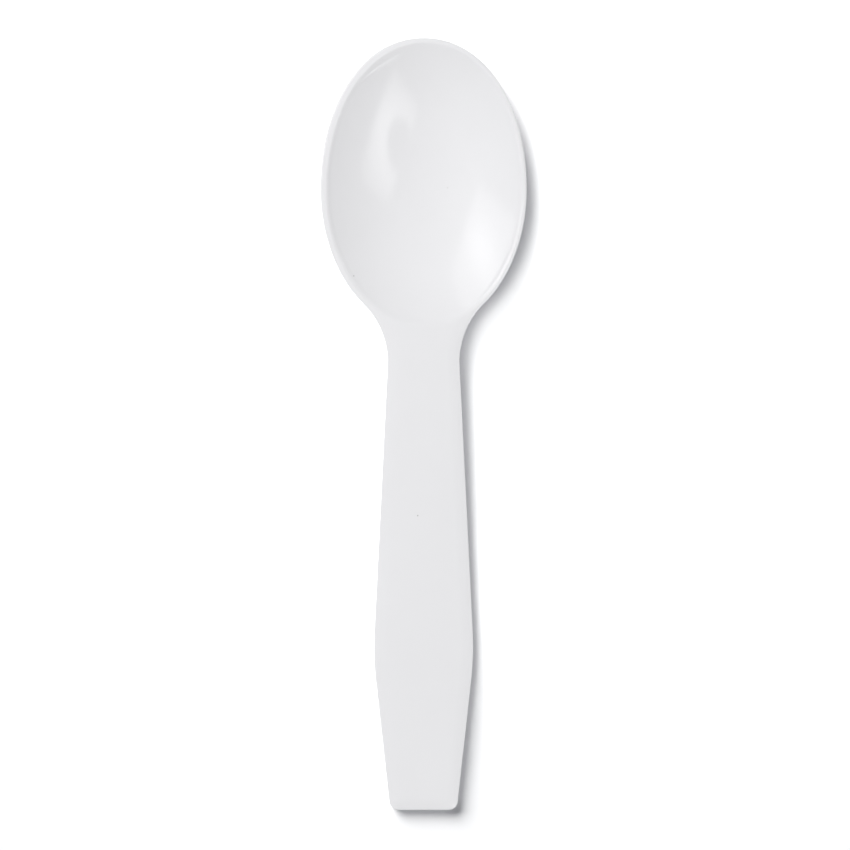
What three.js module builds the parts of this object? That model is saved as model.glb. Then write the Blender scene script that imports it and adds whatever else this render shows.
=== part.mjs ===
// Plastic taster spoon: a single injection moulding in white polystyrene.
// Millimetres, +Z up. The spoon lies on a table at z = 0 with its bowl open upwards and its tip
// towards +Y. The origin is on the table, below the middle of the spoon's length.

import * as THREE from "three";
import { mergeVertices } from "three/addons/utils/BufferGeometryUtils.js";

// Driving dimensions: the plan, seen from above
const SPOON_LENGTH = 76.2; // tip of the bowl to the end of the handle
const BOWL_WIDTH = 20.3; // across the widest line of the bowl
const TIP_REACH = 14.95; // widest line of the bowl to its tip
const TIP_FULLNESS = 2.1; // exponent of the tip's curve, where 2 is a plain ellipse
const HEEL_REACH = 13.85; // widest line of the bowl to the heel of its oval, inside the neck
const NECK_WIDTH = 7.04; // between the handle's straight edges, at the neck
const NECK_FROM_END = 44.45; // neck to the end of the handle
const SHOULDER_RADIUS = 8; // hollow curve from the bowl's side into the handle's edge
const GRIP_WIDTH = 9.94; // between the handle's edges where they turn inwards, drawn sharp
const GRIP_FROM_END = 15.25; // that turn to the end of the handle
const GRIP_RADIUS = 30; // rounding of that turn
const END_WIDTH = 6.55; // end of the handle, drawn with sharp corners
const END_CORNER_RADIUS = 0.9;

// Driving dimensions: the bowl
const BOWL_DEPTH = 3.5; // top of the rim to the deepest point inside
const DEEPEST_AHEAD = 1; // deepest point, from the widest line towards the tip
const FLANK_STRAIGHTNESS = 0.5; // a small value gives parabolic flanks, a large one straight flanks
const WALL_THICKNESS = 0.8;
const RIM_LAND = 0.55; // width of the rim's flat top
const RIM_EDGE_HEIGHT = 0.75; // outer edge of the rim
const RIM_BLEND = 0.12; // depth over which the rim's inner edge is rounded
const UNDERSIDE_BLEND = 0.4; // depth over which the bowl's belly is blended into the handle
const BELLY_FLAT_DEPTH = 0.1; // taken off the belly, so that it stands on a small flat

// Driving dimensions: the handle
const HANDLE_THICKNESS = 1.3;
const NECK_TAPER_LENGTH = 8; // from the neck into the bowl, where the edge thins to the rim's height
const NECK_BEND_LENGTH = 8; // bend that turns the handle down to the table
const NECK_BEND_FROM_END = 44; // middle of that bend to the end of the handle
const CROWN_WIDTH = 1.3; // band along the handle's edges that rolls off
const CROWN_DROP = 0.15; // how far that band falls at the edge
const TOP_EDGE_RADIUS = 0.2;
const UNDER_EDGE_RADIUS = 0.2;

// Steps of the mesh along each stretch of the outline and across the spoon
const TIP_STEPS = 18;
const HEEL_STEPS = 12;
const SHOULDER_STEPS = 9;
const HANDLE_STEPS = 7;
const GRIP_STEPS = 5;
const END_TAPER_STEPS = 4;
const CORNER_STEPS = 5;
const END_STEPS = 2;
const EDGE_STEPS = 3;
const FLOOR_STEPS = 8;

// Plan positions, with y measured from the end of the handle
const widestY = SPOON_LENGTH - TIP_REACH;
const deepestY = widestY + DEEPEST_AHEAD;
const bowlHalfWidth = BOWL_WIDTH / 2;
const hollowHalfWidth = bowlHalfWidth - RIM_LAND;

// The tip of the bowl in plan, from the axis round to the widest line on the right
class TipCurve extends THREE.Curve {
  getPoint(t, target = new THREE.Vector2()) {
    const angle = (t * Math.PI) / 2;
    const power = 2 / TIP_FULLNESS;
    const across = bowlHalfWidth * Math.sin(angle) ** power;
    const ahead = TIP_REACH * Math.cos(angle) ** power;
    return target.set(across, widestY + ahead);
  }
}

// Direction into the spoon from a point of the right-hand outline, which runs from the tip to the end
function inwardOf(direction) {
  return new THREE.Vector2(direction.y, -direction.x);
}

// Arc that rounds the corner of two straight edges, and the points where it meets them
function roundedCorner(before, corner, after, radius) {
  const arriving = corner.clone().sub(before).normalize();
  const leaving = after.clone().sub(corner).normalize();
  const turn = Math.acos(arriving.dot(leaving));
  const setback = radius * Math.tan(turn / 2);
  const start = corner.clone().addScaledVector(arriving, -setback);
  const end = corner.clone().addScaledVector(leaving, setback);
  const centre = start.clone().addScaledVector(inwardOf(arriving), radius);
  const angle = start.clone().sub(centre).angle();
  const curve = new THREE.EllipseCurve(centre.x, centre.y, radius, radius, angle, angle - turn, true);
  return { start, end, curve };
}

// Hollow arc that touches the heel of the bowl's oval and the handle's straight edge
function shoulderArc(edgeStart, edgeDirection) {
  const outward = inwardOf(edgeDirection).negate();
  let centre;
  let heelAngle;
  let outwardOfOval;
  let low = 0;
  let high = Math.PI / 2;
  const halvings = 60;
  for (let step = 0; step < halvings; step += 1) {
    heelAngle = (low + high) / 2;
    const sine = Math.sin(heelAngle);
    const cosine = Math.cos(heelAngle);
    outwardOfOval = new THREE.Vector2(cosine / bowlHalfWidth, -sine / HEEL_REACH).normalize();
    centre = new THREE.Vector2(bowlHalfWidth * cosine, widestY - HEEL_REACH * sine);
    centre.addScaledVector(outwardOfOval, SHOULDER_RADIUS);
    const distance = centre.clone().sub(edgeStart).dot(outward);
    if (distance > SHOULDER_RADIUS) {
      low = heelAngle;
    } else {
      high = heelAngle;
    }
  }
  const end = centre.clone().addScaledVector(outward, -SHOULDER_RADIUS);
  const startAngle = outwardOfOval.clone().negate().angle();
  const endAngle = outward.clone().negate().angle();
  const radius = SHOULDER_RADIUS;
  const curve = new THREE.EllipseCurve(centre.x, centre.y, radius, radius, startAngle, endAngle, false);
  return { heelAngle, end, curve };
}

// Stretches of the right-hand outline, from the tip to the middle of the handle's end
function outlineStretches() {
  const neck = new THREE.Vector2(NECK_WIDTH / 2, NECK_FROM_END);
  const grip = new THREE.Vector2(GRIP_WIDTH / 2, GRIP_FROM_END);
  const endCorner = new THREE.Vector2(END_WIDTH / 2, 0);
  const endMiddle = new THREE.Vector2(0, 0);
  const shoulder = shoulderArc(neck, grip.clone().sub(neck).normalize());
  const turn = roundedCorner(neck, grip, endCorner, GRIP_RADIUS);
  const corner = roundedCorner(grip, endCorner, endMiddle, END_CORNER_RADIUS);
  const heel = new THREE.EllipseCurve(0, widestY, bowlHalfWidth, HEEL_REACH, 0, -shoulder.heelAngle, true);
  return [
    { curve: new TipCurve(), steps: TIP_STEPS },
    { curve: heel, steps: HEEL_STEPS },
    { curve: shoulder.curve, steps: SHOULDER_STEPS },
    { curve: new THREE.LineCurve(shoulder.end, turn.start), steps: HANDLE_STEPS },
    { curve: turn.curve, steps: GRIP_STEPS },
    { curve: new THREE.LineCurve(turn.end, corner.start), steps: END_TAPER_STEPS },
    { curve: corner.curve, steps: CORNER_STEPS },
    { curve: new THREE.LineCurve(corner.end, endMiddle), steps: END_STEPS },
  ];
}

// Ribs from the whole outline to the spine on the axis. Around the tip they fan out from the deepest
// point, around the end from a point half the end's width in, and between them they lie straight across.
function spoonRibs() {
  const right = [];
  const addRib = (curve, t) => {
    const outer = curve.getPoint(t);
    const inward = inwardOf(curve.getTangent(t));
    const inner = new THREE.Vector2(0, THREE.MathUtils.clamp(outer.y, END_WIDTH / 2, deepestY));
    const towards = inner.clone().sub(outer).normalize();
    right.push({ outer, inner, towards, slant: towards.dot(inward) });
  };
  const stretches = outlineStretches();
  for (const { curve, steps } of stretches) {
    for (let step = 0; step < steps; step += 1) {
      addRib(curve, step / steps);
    }
  }
  addRib(stretches.at(-1).curve, 1);
  const mirror = (v) => new THREE.Vector2(-v.x, v.y);
  const left = right.slice(1, -1).reverse().map((rib) => ({
    outer: mirror(rib.outer),
    inner: rib.inner,
    towards: mirror(rib.towards),
    slant: rib.slant,
  }));
  return { ribs: [...right, ...left], rightCount: right.length - 1 };
}

// Radius in the hollow's egg-shaped plan: 0 on the widest line's middle and 1 on the rim's inner edge
function eggRadius(x, ahead) {
  const power = ahead > 0 ? TIP_FULLNESS : 2;
  const reach = (ahead > 0 ? TIP_REACH : HEEL_REACH) - RIM_LAND;
  const across = Math.abs(x / hollowHalfWidth) ** power;
  const along = Math.abs(ahead / reach) ** power;
  return (across + along) ** (1 / power);
}

// Depth of the hollow below the rim. Its contours close in on the deepest point, which lies ahead of
// the widest line, and outside the rim's inner edge the depth runs on below zero.
function hollowDepth(x, y) {
  const ahead = y - widestY;
  const outsideLimit = 2;
  const closeness = 1 - Math.min(eggRadius(x, ahead) ** 2, outsideLimit);
  const share = eggRadius(x, ahead - DEEPEST_AHEAD * closeness);
  const rise = Math.hypot(1, FLANK_STRAIGHTNESS * share) - 1;
  const fullRise = Math.hypot(1, FLANK_STRAIGHTNESS) - 1;
  return BOWL_DEPTH * (1 - rise / fullRise);
}

// Depth of the belly below the rim: the hollow, moved out by the wall square to its surface
function bellyDepth(x, y) {
  const reach = 0.01;
  const slopeX = (hollowDepth(x + reach, y) - hollowDepth(x - reach, y)) / (2 * reach);
  const slopeY = (hollowDepth(x, y + reach) - hollowDepth(x, y - reach)) / (2 * reach);
  return hollowDepth(x, y) + WALL_THICKNESS * Math.hypot(1, slopeX, slopeY);
}

// The larger of two depths, with the corner between them rounded over a band
function roundedMax(first, second, band) {
  const difference = first - second;
  if (difference >= band) {
    return first;
  }
  if (difference <= -band) {
    return second;
  }
  return second + (difference + band) ** 2 / (4 * band);
}

// Share of the handle's section at a place along the spoon: 1 on the handle and 0 in the bowl
function handleShare(y) {
  return 1 - THREE.MathUtils.smoothstep(y, NECK_FROM_END, NECK_FROM_END + NECK_TAPER_LENGTH);
}

// Height of the rim's plane, which bends at the neck and brings the handle's end down to the table
function sheetHeight(y) {
  const rimHeight = BOWL_DEPTH + WALL_THICKNESS - BELLY_FLAT_DEPTH;
  const fall = (rimHeight - HANDLE_THICKNESS) / (NECK_BEND_FROM_END - UNDER_EDGE_RADIUS);
  const past = NECK_BEND_FROM_END + NECK_BEND_LENGTH / 2 - y;
  if (past <= 0) {
    return rimHeight;
  }
  if (past >= NECK_BEND_LENGTH) {
    return rimHeight - fall * (past - NECK_BEND_LENGTH / 2);
  }
  return rimHeight - (fall * past ** 2) / (2 * NECK_BEND_LENGTH);
}

// How far a rounded edge has fallen at an inset from the outline
function edgeFall(inset, radius) {
  const left = Math.max(radius - inset, 0);
  return radius - Math.sqrt(radius ** 2 - left ** 2);
}

function topHeight(x, y, inset) {
  const crown = CROWN_DROP * handleShare(y) * Math.max(1 - inset / CROWN_WIDTH, 0) ** 2;
  const hollow = roundedMax(hollowDepth(x, y), 0, RIM_BLEND);
  return sheetHeight(y) - hollow - crown - edgeFall(inset, TOP_EDGE_RADIUS);
}

function underHeight(x, y, inset) {
  const plate = THREE.MathUtils.lerp(RIM_EDGE_HEIGHT, HANDLE_THICKNESS, handleShare(y));
  const depth = roundedMax(bellyDepth(x, y), plate, UNDERSIDE_BLEND);
  return Math.max(sheetHeight(y) - depth + edgeFall(inset, UNDER_EDGE_RADIUS), 0);
}

// Places across a rib, from the spine to the outline: first shares of the floor, then insets at the edge
function placesAcross(edgeRadius, extraInsets) {
  const insets = [...extraInsets];
  for (let step = 0; step <= EDGE_STEPS; step += 1) {
    insets.push(edgeRadius * (1 - Math.cos((step / EDGE_STEPS) * (Math.PI / 2))));
  }
  insets.sort((first, second) => second - first);
  const floor = [];
  for (let step = 0; step < FLOOR_STEPS; step += 1) {
    floor.push({ inset: insets[0], share: 1 - step / FLOOR_STEPS });
  }
  return [...floor, ...insets.map((inset) => ({ inset, share: 0 }))];
}

// Closed skin: rings of points from the spine over the top, round the edge and back below to the spine
function spoonSkin() {
  const { ribs, rightCount } = spoonRibs();
  const rimInsets = [RIM_LAND - RIM_BLEND, RIM_LAND, RIM_LAND + RIM_BLEND, CROWN_WIDTH];
  const topPlaces = placesAcross(TOP_EDGE_RADIUS, rimInsets);
  const underPlaces = placesAcross(UNDER_EDGE_RADIUS, [RIM_LAND, CROWN_WIDTH]).reverse();
  const rings = [
    ...topPlaces.map((place) => ({ ...place, height: topHeight })),
    ...underPlaces.map((place) => ({ ...place, height: underHeight })),
  ];
  const positions = [];
  for (const { inset, share, height } of rings) {
    for (const rib of ribs) {
      const place = rib.outer.clone().addScaledVector(rib.towards, inset / rib.slant).lerp(rib.inner, share);
      const depthIn = share > 0 ? CROWN_WIDTH : inset;
      positions.push(place.x, place.y, height(place.x, place.y, depthIn));
    }
  }
  const index = [];
  for (let ring = 0; ring + 1 < rings.length; ring += 1) {
    for (let rib = 0; rib < ribs.length; rib += 1) {
      const next = (rib + 1) % ribs.length;
      const a = ring * ribs.length + rib;
      const b = ring * ribs.length + next;
      const c = b + ribs.length;
      const d = a + ribs.length;
      const corners = rib < rightCount ? [a, b, c, a, c, d] : [a, b, d, b, c, d];
      index.push(...corners);
    }
  }
  const skin = new THREE.BufferGeometry();
  skin.setAttribute("position", new THREE.Float32BufferAttribute(positions, 3));
  skin.setIndex(index);
  return withoutSlivers(mergeVertices(skin));
}

// The ribs share points along the spine, so some triangles there have closed up and are left out
function withoutSlivers(skin) {
  const corners = skin.index.array;
  const kept = [];
  for (let at = 0; at < corners.length; at += 3) {
    const [a, b, c] = corners.subarray(at, at + 3);
    if (a !== b && b !== c && c !== a) {
      kept.push(a, b, c);
    }
  }
  skin.setIndex(kept);
  skin.computeVertexNormals();
  return skin;
}

const polystyrene = new THREE.MeshStandardMaterial({ color: 0xebebed, roughness: 0.2, metalness: 0 });
const moulding = new THREE.Mesh(spoonSkin(), polystyrene);
moulding.name = "spoon";
moulding.position.y = -SPOON_LENGTH / 2;

const tasterSpoon = new THREE.Group();
tasterSpoon.add(moulding);

export default tasterSpoon;
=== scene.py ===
# Plastic taster spoon: one white polystyrene moulding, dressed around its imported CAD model.
# Metres, +Z up. The spoon lies on its belly on a white table, bowl open upwards and tip towards +Y.

import math

import bpy
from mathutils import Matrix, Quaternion, Vector


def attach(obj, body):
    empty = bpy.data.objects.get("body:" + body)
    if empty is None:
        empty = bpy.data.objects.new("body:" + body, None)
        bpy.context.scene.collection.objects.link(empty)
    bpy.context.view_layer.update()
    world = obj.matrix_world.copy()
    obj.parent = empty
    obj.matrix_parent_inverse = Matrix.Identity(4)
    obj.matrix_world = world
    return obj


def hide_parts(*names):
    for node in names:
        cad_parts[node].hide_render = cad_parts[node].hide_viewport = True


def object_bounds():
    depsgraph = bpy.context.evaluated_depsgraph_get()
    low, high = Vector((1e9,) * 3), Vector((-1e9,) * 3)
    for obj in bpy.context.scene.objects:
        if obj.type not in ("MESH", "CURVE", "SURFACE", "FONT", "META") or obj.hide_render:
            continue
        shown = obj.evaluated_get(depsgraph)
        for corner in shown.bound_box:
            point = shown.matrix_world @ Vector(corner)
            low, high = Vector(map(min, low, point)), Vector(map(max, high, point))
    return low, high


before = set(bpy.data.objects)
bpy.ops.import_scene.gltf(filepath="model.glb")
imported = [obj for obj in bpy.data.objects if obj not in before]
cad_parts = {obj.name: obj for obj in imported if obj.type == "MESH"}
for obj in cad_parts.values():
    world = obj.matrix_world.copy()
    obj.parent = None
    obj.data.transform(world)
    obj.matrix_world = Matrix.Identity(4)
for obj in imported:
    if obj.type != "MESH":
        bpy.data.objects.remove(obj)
cad_low, cad_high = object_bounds()

# Spoon
# The whole taster spoon is one injection moulding in white polystyrene. Bowl, rim, neck and handle share one
# wall and are moulded in one shot in a polished steel mould, so there is no seam and nothing is fixed to it.

# Outline: the edge of the mould's cavity, an egg-shaped bowl, hollow shoulders, a handle that widens slowly
# to the grip, and a squared end with small corners. Places along it are measured from the handle's end.
MM = 0.001
SPOON_LENGTH = cad_high.y - cad_low.y
BOWL_WIDTH = cad_high.x - cad_low.x
TIP_REACH = 14.95 * MM
TIP_FULLNESS = 2.1
HEEL_REACH = 13.85 * MM
NECK_WIDTH = 7.04 * MM
NECK_FROM_END = 44.45 * MM
SHOULDER_RADIUS = 8 * MM
GRIP_WIDTH = 9.94 * MM
GRIP_FROM_END = 15.25 * MM
GRIP_RADIUS = 30 * MM
END_WIDTH = 6.55 * MM
END_CORNER_RADIUS = 0.9 * MM
TIP_STEPS = 72
HEEL_STEPS = 40
SHOULDER_STEPS = 28
EDGE_STEPS = 40
GRIP_STEPS = 14
TAPER_STEPS = 16
CORNER_STEPS = 12
END_STEPS = 8
bowl_half = BOWL_WIDTH / 2
widest_y = SPOON_LENGTH - TIP_REACH
quarter_turn = math.pi / 2


def shares(steps):
    """Even shares of a stretch of outline, from its start to just before its end."""
    return [step / steps for step in range(steps)]


def inward_of(direction):
    """Direction into the spoon, across an outline that runs from the tip down the right-hand side."""
    return Vector((direction.y, -direction.x))


def angle_of(direction):
    return math.atan2(direction.y, direction.x)


def straight(start, end, steps):
    return [start.lerp(end, share) for share in shares(steps)]


def arc(centre, width, height, start, end, steps):
    """Points round part of an ellipse with these half axes."""
    angles = [start + (end - start) * share for share in shares(steps)]
    return [centre + Vector((width * math.cos(angle), height * math.sin(angle))) for angle in angles]


def rounded_corner(before, corner, after, radius, steps):
    """Arc between two straight edges, with the points where it leaves the first and meets the second."""
    arriving = (corner - before).normalized()
    leaving = (after - corner).normalized()
    turn = math.acos(arriving.dot(leaving))
    setback = radius * math.tan(turn / 2)
    start = corner - arriving * setback
    centre = start + inward_of(arriving) * radius
    angle = angle_of(start - centre)
    return start, arc(centre, radius, radius, angle, angle - turn, steps), corner + leaving * setback


def shoulder(edge_start, edge_direction):
    """Hollow arc that touches the heel of the bowl's oval and the handle's edge, found by halving."""
    outward = -inward_of(edge_direction)
    low, high = 0, quarter_turn
    halvings = 60
    for _ in range(halvings):
        heel_angle = (low + high) / 2
        sine, cosine = math.sin(heel_angle), math.cos(heel_angle)
        off_oval = Vector((cosine / bowl_half, -sine / HEEL_REACH)).normalized()
        on_oval = Vector((bowl_half * cosine, widest_y - HEEL_REACH * sine))
        centre = on_oval + off_oval * SHOULDER_RADIUS
        if (centre - edge_start).dot(outward) > SHOULDER_RADIUS:
            low = heel_angle
        else:
            high = heel_angle
    start, end = angle_of(-off_oval), angle_of(-outward)
    end += math.tau if end < start else 0
    points = arc(centre, SHOULDER_RADIUS, SHOULDER_RADIUS, start, end, SHOULDER_STEPS)
    return heel_angle, points, centre - outward * SHOULDER_RADIUS


def right_outline():
    """The outline's right-hand half, from the tip to the middle of the handle's end."""
    neck = Vector((NECK_WIDTH / 2, NECK_FROM_END))
    grip = Vector((GRIP_WIDTH / 2, GRIP_FROM_END))
    end_corner = Vector((END_WIDTH / 2, 0))
    end_middle = Vector((0, 0))
    power = 2 / TIP_FULLNESS
    tip = []
    for share in shares(TIP_STEPS):
        angle = quarter_turn * share
        across = bowl_half * math.sin(angle) ** power
        tip.append(Vector((across, widest_y + TIP_REACH * math.cos(angle) ** power)))
    heel_angle, shoulder_points, edge_start = shoulder(neck, (grip - neck).normalized())
    heel = arc(Vector((0, widest_y)), bowl_half, HEEL_REACH, 0, -heel_angle, HEEL_STEPS)
    grip_start, grip_points, grip_end = rounded_corner(neck, grip, end_corner, GRIP_RADIUS, GRIP_STEPS)
    corner_start, corner_points, corner_end = rounded_corner(
        grip, end_corner, end_middle, END_CORNER_RADIUS, CORNER_STEPS
    )
    return [
        *tip,
        *heel,
        *shoulder_points,
        *straight(edge_start, grip_start, EDGE_STEPS),
        *grip_points,
        *straight(grip_end, corner_start, TAPER_STEPS),
        *corner_points,
        *straight(corner_end, end_middle, END_STEPS),
        end_middle,
    ]


right = right_outline()
left = [Vector((-point.x, point.y)) for point in reversed(right[1:-1])]
outline_curve = bpy.data.curves.new("spoon_outline", "CURVE")
outline_curve.dimensions = "3D"
outline_spline = outline_curve.splines.new("POLY")
outline_spline.points.add(len(right) + len(left) - 1)
for spline_point, outline_point in zip(outline_spline.points, right + left):
    spline_point.co = (outline_point.x, outline_point.y, 0, 1)
outline_spline.use_cyclic_u = True
outline = bpy.data.objects.new("spoon_outline", outline_curve)
bpy.context.scene.collection.objects.link(outline)

# White polystyrene, pigmented right through and moulded against polished steel. To the eye it is a cool white
# with a soft gloss, very faintly cloudy where the melt flowed, and rippled a little by the mould's polish.
# A speck's numbers are its place across and along the spoon from the origin, in mm, and its darkness.
WHITE = "EAEAEC"
FLOW_WHITE = "E6E6E8"
POLYSTYRENE_IOR = 1.59
SOFT_GLOSS = 0.12
GLOSS_SPREAD = 0.02
FLOW_SIZE = 7 * MM
FLOW_DETAIL = 3
GLOSS_PATCH_SIZE = 2 * MM
GLOSS_PATCH_DETAIL = 3
RIPPLE_SIZE = 2.5 * MM
RIPPLE_DETAIL = 2
RIPPLE_HEIGHT = 0.003 * MM
SPECK_GREY = "8C8C88"
SPECK_RADIUS = 0.09 * MM
SPECKS = ((-0.58, -8.97, 1), (-6.88, 14.66, 0.7), (2.37, 23.45, 0.4))
MATH = "ShaderNodeMath"
VECTOR = "ShaderNodeVectorMath"
RANGE = "ShaderNodeMapRange"
MIX = "ShaderNodeMix"
NOISE = "ShaderNodeTexNoise"


def linear(hex_colour):
    """Linear colour, with full alpha, of an sRGB hex value."""
    channels = [int(hex_colour[at:at + 2], 16) / 255 for at in (0, 2, 4)]
    bent = [c / 12.92 if c <= 0.04045 else ((c + 0.055) / 1.055) ** 2.4 for c in channels]
    return (*bent, 1)


def add(tree, kind, *feeds, **settings):
    """Adds a node with its settings, feeds its inputs in order and returns its first output."""
    added = tree.nodes.new(kind)
    for name, value in settings.items():
        setattr(added, name, value)
    for socket, feed in zip([s for s in added.inputs if s.enabled], feeds):
        if isinstance(feed, bpy.types.NodeSocket):
            tree.links.new(feed, socket)
        elif feed is not None:
            socket.default_value = feed
    return next((s for s in added.outputs if s.enabled), None)


polystyrene = bpy.data.materials.new("white_polystyrene_soft_gloss")
polystyrene.use_nodes = True
shader_tree = polystyrene.node_tree
plastic = shader_tree.nodes["Principled BSDF"]
plastic.inputs["IOR"].default_value = POLYSTYRENE_IOR
on_spoon = add(shader_tree, "ShaderNodeTexCoord").node.outputs["Object"]
flow = add(shader_tree, NOISE, on_spoon, 1 / FLOW_SIZE, FLOW_DETAIL)
colour = add(shader_tree, MIX, flow, linear(WHITE), linear(FLOW_WHITE), data_type="RGBA")

# A few specks of scorched plastic, each just under 0.2 mm across, go right through the thin wall.
in_plan = add(shader_tree, VECTOR, on_spoon, (1, 1, 0), operation="MULTIPLY")
for across_mm, along_mm, darkness in SPECKS:
    speck_place = (across_mm * MM, along_mm * MM, 0)
    from_speck = add(shader_tree, VECTOR, in_plan, speck_place, operation="DISTANCE")
    speck = add(shader_tree, RANGE, from_speck, 0, SPECK_RADIUS, darkness, 0)
    colour = add(shader_tree, MIX, speck, colour, linear(SPECK_GREY), data_type="RGBA")
shader_tree.links.new(colour, plastic.inputs["Base Color"])

# The polish of the mould gives the gloss its faint patches and the surface its shallow ripple.
patches = add(shader_tree, NOISE, on_spoon, 1 / GLOSS_PATCH_SIZE, GLOSS_PATCH_DETAIL)
gloss = add(shader_tree, RANGE, patches, 0, 1, SOFT_GLOSS - GLOSS_SPREAD, SOFT_GLOSS + GLOSS_SPREAD)
shader_tree.links.new(gloss, plastic.inputs["Roughness"])
ripple = add(shader_tree, NOISE, on_spoon, 1 / RIPPLE_SIZE, RIPPLE_DETAIL)
rippled = add(shader_tree, "ShaderNodeBump")
rippled.node.inputs["Distance"].default_value = RIPPLE_HEIGHT
shader_tree.links.new(ripple, rippled.node.inputs["Height"])
shader_tree.links.new(rippled, plastic.inputs["Normal"])

# Skin: ribs of points run from the outline to a spine on the axis, over the top and back below, and the
# height of each point follows the rule of the bowl, the rim and the handle.
RIM_HEIGHT = cad_high.z
RIM_LAND = 0.4 * MM
LIP_WIDTH = 0.5 * MM
BEVEL_WIDTH = 0.23 * MM
DEEPEST_AHEAD = 1 * MM
HANDLE_THICKNESS = 1.3 * MM
UNDER_EDGE_RADIUS = 0.2 * MM
NECK_BEND_FROM_END = 44 * MM
STEP_RADIUS = 24.9 * MM
STEP_OUTER_FLANK = 0.17 * MM
STEP_INNER_FLANK = 0.4 * MM
STEP_AZIMUTH = math.radians(124)
STEP_HALF_ANGLE = math.radians(7)
BAND_RINGS = 44
FLOOR_RINGS = 26
side_rings = BAND_RINGS + FLOOR_RINGS
all_rings = 2 * side_rings + 1
hollow_half = bowl_half - RIM_LAND
moulding_sizes = {
    "Hollow half width": hollow_half,
    "Hollow tip reach": TIP_REACH - RIM_LAND,
    "Hollow heel reach": HEEL_REACH - RIM_LAND,
    "Hollow tip fullness": 2.05,
    "Core shift": (0.12 * MM, -0.08 * MM, 0),
    "Widest place": widest_y,
    "Bowl depth": 3.5 * MM,
    "Deepest ahead": DEEPEST_AHEAD,
    "Flank straightness": 0.5,
    "Wall": 0.8 * MM,
    "Rim height": RIM_HEIGHT,
    "Rim edge": 0.75 * MM,
    "Rim rounding": 0.04 * MM,
    "Rim chamfer width": 0.18 * MM,
    "Rim chamfer drop": 0.07 * MM,
    "Lip start": 1 - LIP_WIDTH / hollow_half,
    "Lip height": 0.08 * MM,
    "Bevel start": 1 + BEVEL_WIDTH / hollow_half,
    "Bevel end": 1 - BEVEL_WIDTH / hollow_half,
    "Bevel depth": 0.115 * MM,
    "Step centre": (9.74 * MM, widest_y - 8.54 * MM, 0),
    "Step radius": STEP_RADIUS,
    "Step outside": STEP_RADIUS + STEP_OUTER_FLANK,
    "Step inside": STEP_RADIUS - STEP_INNER_FLANK,
    "Step height": 0.034 * MM,
    "Step direction": (math.cos(STEP_AZIMUTH), math.sin(STEP_AZIMUTH), 0),
    "Step end cosine": math.cos(STEP_HALF_ANGLE),
    "Step full cosine": math.cos(STEP_HALF_ANGLE / 2),
    "Underside rounding": 0.6 * MM,
    "Handle thickness": HANDLE_THICKNESS,
    "Handle end": (0, cad_low.y, 0),
    "Neck": NECK_FROM_END,
    "Neck taper": 8 * MM,
    "Bend place": NECK_BEND_FROM_END,
    "Bend rounding": 6 * MM,
    "Handle fall": (RIM_HEIGHT - HANDLE_THICKNESS) / (NECK_BEND_FROM_END - UNDER_EDGE_RADIUS),
    "Crown width": 1.3 * MM,
    "Crown drop": 0.15 * MM,
    "Top edge radius": 0.05 * MM,
    "Under edge radius": UNDER_EDGE_RADIUS,
    "Spine end": END_WIDTH / 2,
    "Spine front": widest_y + DEEPEST_AHEAD,
    "Tip": SPOON_LENGTH,
}
WHOLE = "FunctionNodeIntegerMath"
JOIN = "ShaderNodeCombineXYZ"
SPLIT = "ShaderNodeSeparateXYZ"

moulding = bpy.data.node_groups.new("spoon_moulding", "GeometryNodeTree")
outline_socket = moulding.interface.new_socket("Outline", in_out="INPUT", socket_type="NodeSocketObject")
size_sockets = {}
for name, size in moulding_sizes.items():
    size_type = "NodeSocketVector" if isinstance(size, tuple) else "NodeSocketFloat"
    size_sockets[name] = moulding.interface.new_socket(name, in_out="INPUT", socket_type=size_type)
moulding.interface.new_socket("Spoon", in_out="OUTPUT", socket_type="NodeSocketGeometry")
given = moulding.nodes.new("NodeGroupInput").outputs

# Each point of the grid has a rib, which is a point of the outline, and a ring, counted from the top of the
# spine over the edge to the underside of the spine.
drawn = add(moulding, "GeometryNodeObjectInfo", given["Outline"]).node.outputs["Geometry"]
ribs = add(moulding, "GeometryNodeAttributeDomainSize", drawn, component="CURVE")
closed_ribs = add(moulding, WHOLE, ribs, 1, operation="ADD")
grid = add(moulding, "GeometryNodeMeshGrid", None, None, closed_ribs, all_rings)
point = add(moulding, "GeometryNodeInputIndex")
column = add(moulding, WHOLE, point, all_rings, operation="DIVIDE_FLOOR")
rib = add(moulding, WHOLE, column, ribs, operation="MODULO")
ring = add(moulding, WHOLE, point, all_rings, operation="MODULO")
position = add(moulding, "GeometryNodeInputPosition")
tangent = add(moulding, "GeometryNodeInputTangent")
outer = add(moulding, "GeometryNodeSampleIndex", drawn, position, rib, data_type="FLOAT_VECTOR")
along = add(moulding, "GeometryNodeSampleIndex", drawn, tangent, rib, data_type="FLOAT_VECTOR")
inward = add(moulding, VECTOR, along, (0, 0, 1), operation="CROSS_PRODUCT")
outer_y = add(moulding, SPLIT, outer).node.outputs["Y"]
spine_y = add(moulding, "ShaderNodeClamp", outer_y, given["Spine end"], given["Spine front"])
inner = add(moulding, JOIN, 0, spine_y, 0)
across = add(moulding, VECTOR, inner, outer, operation="SUBTRACT")
towards = add(moulding, VECTOR, across, operation="NORMALIZE")
slant = add(moulding, VECTOR, towards, inward, operation="DOT_PRODUCT")

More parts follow.
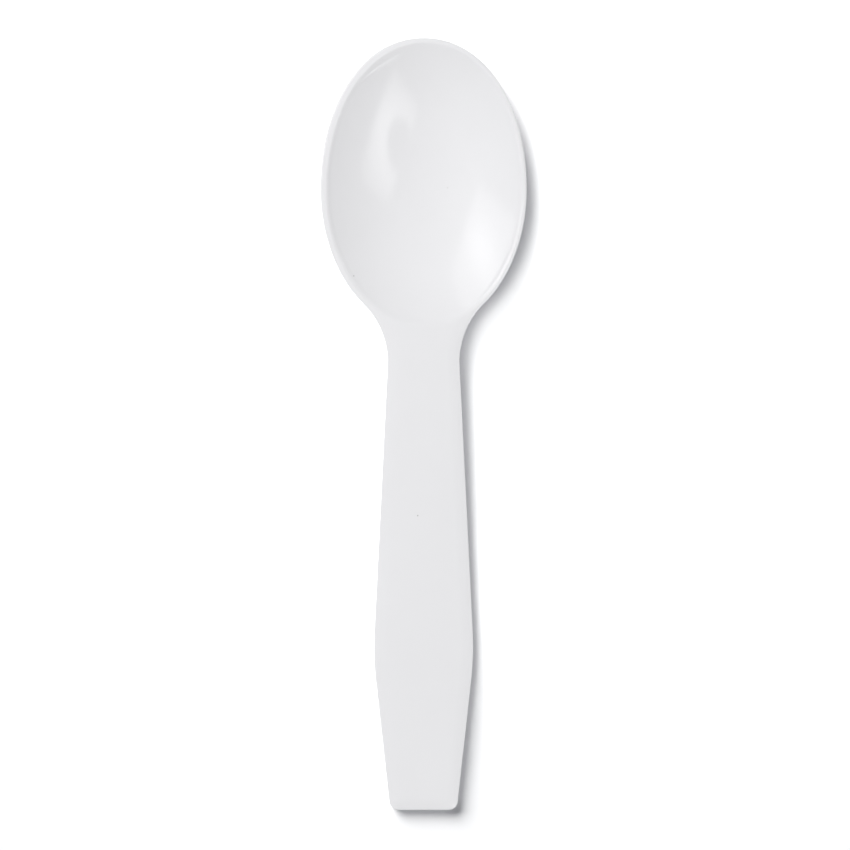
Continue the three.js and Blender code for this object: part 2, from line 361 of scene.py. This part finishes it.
# Rings crowd together in the band along the edge, and then share out the floor.
past_middle = add(moulding, MATH, ring, side_rings, operation="SUBTRACT")
from_edge = add(moulding, MATH, past_middle, operation="ABSOLUTE")
band_share = add(moulding, RANGE, from_edge, 1, BAND_RINGS, 0, 1)
floor_share = add(moulding, RANGE, from_edge, BAND_RINGS, side_rings, 0, 1)
crowded = add(moulding, MATH, band_share, 2, operation="POWER")
inset = add(moulding, MATH, crowded, given["Crown width"], operation="MULTIPLY")
rib_inset = add(moulding, MATH, inset, slant, operation="DIVIDE")
stepped = add(moulding, VECTOR, towards, rib_inset, operation="SCALE")
in_band = add(moulding, VECTOR, outer, stepped, operation="ADD")
place = add(moulding, MIX, floor_share, in_band, inner, data_type="VECTOR")


def egg_radius(across_axis, ahead):
    """Radius in the hollow's egg-shaped plan: 0 on the middle of the widest line and 1 at the rim."""
    tipward = add(moulding, MATH, ahead, 0, operation="GREATER_THAN")
    reach = add(moulding, MIX, tipward, given["Hollow heel reach"], given["Hollow tip reach"])
    power = add(moulding, MIX, tipward, 2, given["Hollow tip fullness"])
    plan = add(moulding, JOIN, across_axis, ahead, 0)
    reaches = add(moulding, JOIN, given["Hollow half width"], reach, 1)
    powers = add(moulding, JOIN, power, power, 1)
    reached = add(moulding, VECTOR, plan, reaches, operation="DIVIDE")
    unsigned = add(moulding, VECTOR, reached, operation="ABSOLUTE")
    raised = add(moulding, VECTOR, unsigned, powers, operation="POWER")
    total = add(moulding, VECTOR, raised, (1, 1, 0), operation="DOT_PRODUCT")
    root = add(moulding, MATH, 1, power, operation="DIVIDE")
    return add(moulding, MATH, total, root, operation="POWER")


def hollow_share(spot):
    """Radius from the deepest point, which lies ahead of the widest line, to 1 at the rim."""
    outside_limit = 2
    across_axis = add(moulding, SPLIT, spot)
    along_axis = across_axis.node.outputs["Y"]
    ahead = add(moulding, MATH, along_axis, given["Widest place"], operation="SUBTRACT")
    radius_square = add(moulding, MATH, egg_radius(across_axis, ahead), 2, operation="POWER")
    limited = add(moulding, MATH, radius_square, outside_limit, operation="MINIMUM")
    closeness = add(moulding, MATH, 1, limited, operation="SUBTRACT")
    shift = add(moulding, MATH, closeness, given["Deepest ahead"], operation="MULTIPLY")
    centred = add(moulding, MATH, ahead, shift, operation="SUBTRACT")
    return egg_radius(across_axis, centred)


def hollow_depth(share):
    """Depth of the hollow below the rim, steeper towards the rim."""
    rises = []
    for reach in (share, 1):
        flank = add(moulding, MATH, given["Flank straightness"], reach, operation="MULTIPLY")
        flank_vector = add(moulding, JOIN, 1, flank, 0)
        slope_length = add(moulding, VECTOR, flank_vector, operation="LENGTH")
        rises.append(add(moulding, MATH, slope_length, 1, operation="SUBTRACT"))
    risen = add(moulding, MATH, *rises, operation="DIVIDE")
    sunk = add(moulding, MATH, 1, risen, operation="SUBTRACT")
    return add(moulding, MATH, sunk, given["Bowl depth"], operation="MULTIPLY")


def edge_fall(radius):
    """How far a rounded edge has fallen at the inset from the outline."""
    remaining = add(moulding, MATH, radius, inset, operation="SUBTRACT")
    within = add(moulding, MATH, remaining, 0, operation="MAXIMUM")
    within_square = add(moulding, MATH, within, 2, operation="POWER")
    radius_square = add(moulding, MATH, radius, 2, operation="POWER")
    left_square = add(moulding, MATH, radius_square, within_square, operation="SUBTRACT")
    height_left = add(moulding, MATH, left_square, operation="SQRT")
    return add(moulding, MATH, radius, height_left, operation="SUBTRACT")


# The rim's plane is level over the bowl, and bends at the neck so that the handle's end meets the table.
place_y = add(moulding, SPLIT, place).node.outputs["Y"]
before_bend = add(moulding, MATH, given["Bend place"], place_y, operation="SUBTRACT")
bent = add(moulding, MATH, before_bend, 0, given["Bend rounding"], operation="SMOOTH_MAX")
fallen = add(moulding, MATH, bent, given["Handle fall"], operation="MULTIPLY")
sheet = add(moulding, MATH, given["Rim height"], fallen, operation="SUBTRACT")
taper_end = add(moulding, MATH, given["Neck"], given["Neck taper"], operation="ADD")
handle_share = add(
    moulding, RANGE, place_y, given["Neck"], taper_end, 1, 0, interpolation_type="SMOOTHSTEP"
)

# Top side: the hollow, with a low steep lip inside the rim that fades towards the tip. The core that
# forms it sat a little off the middle of the mould, so the rim is wider on the left and at the tip.
core_place = add(moulding, VECTOR, place, given["Core shift"], operation="SUBTRACT")
rim_share = hollow_share(core_place)
hollow = hollow_depth(rim_share)
lip_height = add(moulding, RANGE, place_y, given["Widest place"], given["Tip"], given["Lip height"], 0)
lip = add(
    moulding, RANGE, rim_share, given["Lip start"], 1, 0, lip_height, interpolation_type="SMOOTHSTEP"
)
lipped = add(moulding, MATH, hollow, lip, operation="SUBTRACT")

# A cutter's step in the mould left a fine raised line along an arc, to the left of the tip.
from_centre = add(moulding, VECTOR, place, given["Step centre"], operation="SUBTRACT")
step_reach = add(moulding, VECTOR, from_centre, operation="LENGTH")
step_outer = add(moulding, RANGE, step_reach, given["Step radius"], given["Step outside"], 1, 0)
step_inner = add(
    moulding, RANGE, step_reach, given["Step inside"], given["Step radius"], 0, given["Step height"]
)
step_ridge = add(moulding, MATH, step_outer, step_inner, operation="MULTIPLY")
step_heading = add(moulding, VECTOR, from_centre, operation="NORMALIZE")
step_facing = add(moulding, VECTOR, step_heading, given["Step direction"], operation="DOT_PRODUCT")
step_share = add(
    moulding, RANGE, step_facing, given["Step end cosine"], given["Step full cosine"], 0, 1,
    interpolation_type="SMOOTHSTEP",
)
step_line = add(moulding, MATH, step_ridge, step_share, operation="MULTIPLY")
stepped_hollow = add(moulding, MATH, lipped, step_line, operation="SUBTRACT")

# A narrow bevel breaks the edge between the hollow and the flat of the rim.
bevel_share = add(moulding, RANGE, rim_share, given["Bevel start"], given["Bevel end"], -1, 1)
bevel = add(moulding, MATH, bevel_share, given["Bevel depth"], operation="MULTIPLY")
bevelled = add(moulding, MATH, stepped_hollow, bevel, given["Rim rounding"], operation="SMOOTH_MAX")
hollow_below_rim = add(moulding, MATH, bevelled, 0, given["Rim rounding"], operation="SMOOTH_MAX")

# The rim has a narrow chamfer along its outer edge, and the handle a crown that rolls off in a wide band.
chamfer = add(moulding, RANGE, inset, 0, given["Rim chamfer width"], given["Rim chamfer drop"], 0)
crown_share = add(moulding, RANGE, inset, 0, given["Crown width"], 1, 0)
crown_bend = add(moulding, MATH, crown_share, 2, operation="POWER")
crown_drop = add(moulding, MATH, crown_bend, given["Crown drop"], operation="MULTIPLY")
crown = add(moulding, MIX, handle_share, chamfer, crown_drop)
top_floor = add(moulding, MATH, sheet, hollow_below_rim, operation="SUBTRACT")
top_crowned = add(moulding, MATH, top_floor, crown, operation="SUBTRACT")
top = add(moulding, MATH, top_crowned, edge_fall(given["Top edge radius"]), operation="SUBTRACT")

# Underside: the hollow moved out by the wall, square to its surface, and blended into the handle's flat back.
# The slope of the hollow is measured over a short probe across the spoon and another along it.
PROBE = 0.05 * MM
cavity = hollow_depth(hollow_share(place))
slopes = []
for probe in ((PROBE, 0, 0), (0, PROBE, 0)):
    probe_place = add(moulding, VECTOR, place, probe, operation="ADD")
    probe_depth = hollow_depth(hollow_share(probe_place))
    change = add(moulding, MATH, probe_depth, cavity, operation="SUBTRACT")
    slopes.append(add(moulding, MATH, change, PROBE, operation="DIVIDE"))
slope_vector = add(moulding, JOIN, 1, *slopes)
steepness = add(moulding, VECTOR, slope_vector, operation="LENGTH")
upright_wall = add(moulding, MATH, steepness, given["Wall"], operation="MULTIPLY")
belly = add(moulding, MATH, cavity, upright_wall, operation="ADD")
plate = add(moulding, MIX, handle_share, given["Rim edge"], given["Handle thickness"])
below_sheet = add(moulding, MATH, belly, plate, given["Underside rounding"], operation="SMOOTH_MAX")
under_floor = add(moulding, MATH, sheet, below_sheet, operation="SUBTRACT")
under_edged = add(moulding, MATH, under_floor, edge_fall(given["Under edge radius"]), operation="ADD")
under = add(moulding, MATH, under_edged, 0, operation="MAXIMUM")

# The ring on the edge itself lies halfway between top and underside, and the skin is welded along the spine.
WELD_DISTANCE = 0.0002 * MM
on_top = add(moulding, RANGE, ring, side_rings - 1, side_rings + 1, 1, 0)
height = add(moulding, MIX, on_top, under, top)
raised_place = add(moulding, JOIN, 0, 0, height)
surface_place = add(moulding, VECTOR, place, raised_place, operation="ADD")
in_frame = add(moulding, VECTOR, surface_place, given["Handle end"], operation="ADD")
skin = add(moulding, "GeometryNodeSetPosition", grid, None, in_frame)
welded = add(moulding, "GeometryNodeMergeByDistance", skin, None, WELD_DISTANCE)
smooth = add(moulding, "GeometryNodeSetShadeSmooth", welded)
realized = add(moulding, "GeometryNodeRealizeInstances", smooth)
finished = add(moulding, "GeometryNodeSetMaterial", realized, None, polystyrene)
add(moulding, "NodeGroupOutput", finished)

spoon = bpy.data.objects.new("spoon_moulding", bpy.data.meshes.new("spoon_moulding_start"))
bpy.context.scene.collection.objects.link(spoon)
modifier = spoon.modifiers.new("Moulding", "NODES")
modifier.node_group = moulding
modifier[outline_socket.identifier] = outline
for name, size in moulding_sizes.items():
    modifier[size_sockets[name].identifier] = size
shaped = spoon.evaluated_get(bpy.context.evaluated_depsgraph_get())
spoon_mesh = bpy.data.meshes.new_from_object(shaped)
spoon.modifiers.clear()
spoon.data = spoon_mesh
bpy.data.objects.remove(outline)
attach(spoon, "root")
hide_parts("spoon")

# Table
# A plain matt white table, so wide that its edge is never seen. It shows the spoon's soft shadow and nothing
# else, and gives the spoon an even glow. From below it is clear, so that the underside can be looked at.

TABLE_WHITE = "FEFEFE"
TABLE_SIDE = 40
TABLE_BOUNCE = 0.65
half_table = TABLE_SIDE / 2
table_corners = [(-half_table, -half_table, 0), (half_table, -half_table, 0)]
table_corners += [(half_table, half_table, 0), (-half_table, half_table, 0)]
table_mesh = bpy.data.meshes.new("table")
table_mesh.from_pydata(table_corners, [], [(0, 1, 2, 3)])
table = bpy.data.objects.new("table", table_mesh)
bpy.context.scene.collection.objects.link(table)
matt_white = bpy.data.materials.new("matt_white_table")
matt_white.use_nodes = True
table_tree = matt_white.node_tree
table_tree.nodes.clear()
from_below = add(table_tree, "ShaderNodeNewGeometry").node.outputs["Backfacing"]
rays = add(table_tree, "ShaderNodeLightPath").node.outputs
mirrored = add(table_tree, MATH, rays["Is Glossy Ray"], rays["Is Transmission Ray"], operation="MAXIMUM")
table_glow = add(table_tree, MATH, mirrored, TABLE_BOUNCE, operation="MAXIMUM")
bounce = add(table_tree, "ShaderNodeEmission", linear(TABLE_WHITE), table_glow)
matt = add(table_tree, "ShaderNodeBsdfDiffuse", linear(TABLE_WHITE))
table_face = add(table_tree, "ShaderNodeMixShader", rays["Is Camera Ray"], bounce, matt)
clear = add(table_tree, "ShaderNodeBsdfTransparent")
one_way = add(table_tree, "ShaderNodeMixShader", from_below, table_face, clear)
add(table_tree, "ShaderNodeOutputMaterial", one_way)
matt_white.cycles.emission_sampling = "NONE"
table_mesh.materials.append(matt_white)

# Studio light
# A white tent and a window to the left light the spoon, and two soft boxes beside the bowl show in its gloss.
# The table has lamps of its own, which keep its white even and give it the spoon's shadow.

# Angles of lamps are in degrees. A share is the part of full white that a lamp gives a level surface.
FULL_TURN = 360
STUDIO_RADIUS = 1
TENT_WALLS = 4
TENT_WALL_AZIMUTH = 60
WINDOW_DISTANCE = 0.35
WINDOW_WIDTH = 0.33
FILL_TINT = "F1F5FF"
BOWL_LAMP_BEAM = 34
FACE_MIDDLE = (0.5, 0.5, 0)
FLAG_MIDDLE = (-0.03, 0.155, 0)
FLAG_RADIUS = 0.2
FLAG_EDGE = 0.02
bowl_middle = Vector((0, cad_low.y + widest_y, cad_high.z))


def lamp(kind, name, only, azimuth, elevation, distance=STUDIO_RADIUS):
    """A lamp of this kind, turned to shine on the bowl from this direction, which lights one object only."""
    rise, bearing = math.radians(elevation), math.radians(azimuth)
    plan = math.cos(rise)
    direction = Vector((plan * math.cos(bearing), plan * math.sin(bearing), math.sin(rise)))
    made = bpy.data.objects.new(name, bpy.data.lights.new(name, kind))
    made.location = bowl_middle + direction * distance
    made.rotation_mode = "QUATERNION"
    made.rotation_quaternion = direction.to_track_quat("Z", "Y")
    made.visible_camera = False
    bpy.context.scene.collection.objects.link(made)
    made.light_linking.receiver_collection = bpy.data.collections.new(name + "_lights")
    made.light_linking.receiver_collection.objects.link(only)
    return made


def sun(name, only, azimuth, elevation, spread, share):
    """Even light from a round patch of sky of this spread, without a mirror image of its own."""
    made = lamp("SUN", name, only, azimuth, elevation)
    made.visible_glossy = False
    made.data.angle = math.radians(spread)
    made.data.energy = math.pi * share / math.sin(math.radians(elevation))
    return made.data


def round_lamp(name, only, azimuth, elevation, distance, width, share, filling=1):
    """A round lamp near the bowl. Filling is the part of a sky's light that its face gives, 1 for a beam."""
    made = lamp("AREA", name, only, azimuth, elevation, distance)
    made.data.shape = "DISK"
    made.data.size = width
    face_area = math.pi * (width / 2) ** 2
    face_glow = share / (filling * math.sin(math.radians(elevation)))
    made.data.energy = math.pi * face_area * face_glow
    return made


def soft_box(name, azimuth, elevation, roll, width, height, glow, middle_radius, middle_gain):
    """A cloth-fronted box lamp, brighter in the middle. Returns what a flag before it would shade."""
    made = lamp("AREA", name, spoon, azimuth, elevation)
    made.rotation_quaternion @= Quaternion((0, 0, 1), math.radians(roll))
    made.data.shape = "RECTANGLE"
    made.data.size = width
    made.data.size_y = height
    made.data.energy = math.pi * width * height * glow
    made.data.use_nodes = True
    cloth_tree = made.data.node_tree
    across_cloth = add(cloth_tree, "ShaderNodeNewGeometry").node.outputs["Parametric"]
    from_face_middle = add(cloth_tree, VECTOR, across_cloth, FACE_MIDDLE, operation="SUBTRACT")
    on_cloth = add(cloth_tree, VECTOR, from_face_middle, (width, height, 0), operation="MULTIPLY")
    off_middle = add(cloth_tree, VECTOR, on_cloth, operation="LENGTH")
    brighter = add(
        cloth_tree, RANGE, off_middle, 0, middle_radius, 1 + middle_gain, 1, interpolation_type="SMOOTHSTEP"
    )
    strength = cloth_tree.nodes["Emission"].inputs["Strength"]
    cloth_tree.links.new(brighter, strength)
    return cloth_tree, on_cloth, brighter, strength


# The tent gives its light from a wide top and, low down, from walls all round.
sun("tent_top", only=spoon, azimuth=0, elevation=90, spread=160, share=0.58)
for wall in range(TENT_WALLS):
    wall_azimuth = TENT_WALL_AZIMUTH + wall * FULL_TURN / TENT_WALLS
    sun(f"tent_wall_{wall + 1}", only=spoon, azimuth=wall_azimuth, elevation=18, spread=30, share=0.0175)

# The window is close enough for its light to fall off a little towards the end of the handle.
window_slope = WINDOW_WIDTH / 2 / WINDOW_DISTANCE
window = round_lamp(
    "window", only=spoon, azimuth=150, elevation=45, distance=WINDOW_DISTANCE, width=WINDOW_WIDTH, share=0.2,
    filling=window_slope ** 2 / (1 + window_slope ** 2),
)
window.visible_glossy = False

# The key casts the shadow on the table, and a cool fill without a shadow of its own lightens it.
sun("table_key", only=table, azimuth=130, elevation=38.5, spread=50, share=0.92)
table_fill = sun("table_fill", only=table, azimuth=0, elevation=90, spread=1, share=0.14)
table_fill.use_shadow = False
table_fill.color = linear(FILL_TINT)[:3]

# A lamp close above the bowl keeps the shadow of its high rim as short as that of the handle.
bowl_lamp = round_lamp(
    "bowl_lamp", only=table, azimuth=168, elevation=75.5, distance=0.045, width=0.1, share=0.75
)
bowl_lamp.data.spread = math.radians(BOWL_LAMP_BEAM)

# The soft boxes are bright in the middle. A round flag hides part of the right-hand one.
soft_box(
    "left_soft_box", azimuth=147.2, elevation=41.8, roll=-5, width=0.72, height=0.4, glow=0.94,
    middle_radius=0.25, middle_gain=1.6,
)
cloth_tree, on_cloth, brighter, strength = soft_box(
    "right_soft_box", azimuth=-28.5, elevation=57, roll=-4.6, width=0.85, height=0.46, glow=0.5,
    middle_radius=0.52, middle_gain=4,
)
from_flag = add(cloth_tree, VECTOR, on_cloth, FLAG_MIDDLE, operation="DISTANCE")
past_flag = add(cloth_tree, RANGE, from_flag, FLAG_RADIUS - FLAG_EDGE, FLAG_RADIUS + FLAG_EDGE, 0, 1)
flagged = add(cloth_tree, MATH, brighter, past_flag, operation="MULTIPLY")
cloth_tree.links.new(flagged, strength)

# The room's white shows in the gloss and behind the spoon, and lights nothing. The lamps do that.
world = bpy.data.worlds.new("white_room")
bpy.context.scene.world = world
world.use_nodes = True
room = world.node_tree
ray = add(room, "ShaderNodeLightPath").node.outputs
seen = add(room, MATH, ray["Is Camera Ray"], ray["Is Glossy Ray"], operation="MAXIMUM")
seen_through = add(room, MATH, seen, ray["Is Transmission Ray"], operation="MAXIMUM")
room.nodes["Background"].inputs["Color"].default_value = (1, 1, 1, 1)
room.links.new(seen_through, room.nodes["Background"].inputs["Strength"])

# Camera
# It looks straight down from far off through a long lens, so that the spoon is seen almost without
# perspective. The frame's side is measured at the mean height of the spoon's top.

FRAME_SIDE = 83.88 * MM
FRAME_MIDDLE_X = 0.14 * MM
FRAME_MIDDLE_Y = -0.03 * MM
MEAN_TOP_HEIGHT = 2.8 * MM
SENSOR_WIDTH = 36
LENS = 300
camera_data = bpy.data.cameras.new("camera")
camera_data.sensor_width = SENSOR_WIDTH
camera_data.lens = LENS
camera = bpy.data.objects.new("camera", camera_data)
camera_distance = FRAME_SIDE * LENS / SENSOR_WIDTH
camera.location = (FRAME_MIDDLE_X, FRAME_MIDDLE_Y, MEAN_TOP_HEIGHT + camera_distance)
bpy.context.scene.collection.objects.link(camera)
bpy.context.scene.camera = camera
bpy.context.scene.view_settings.view_transform = "Standard"
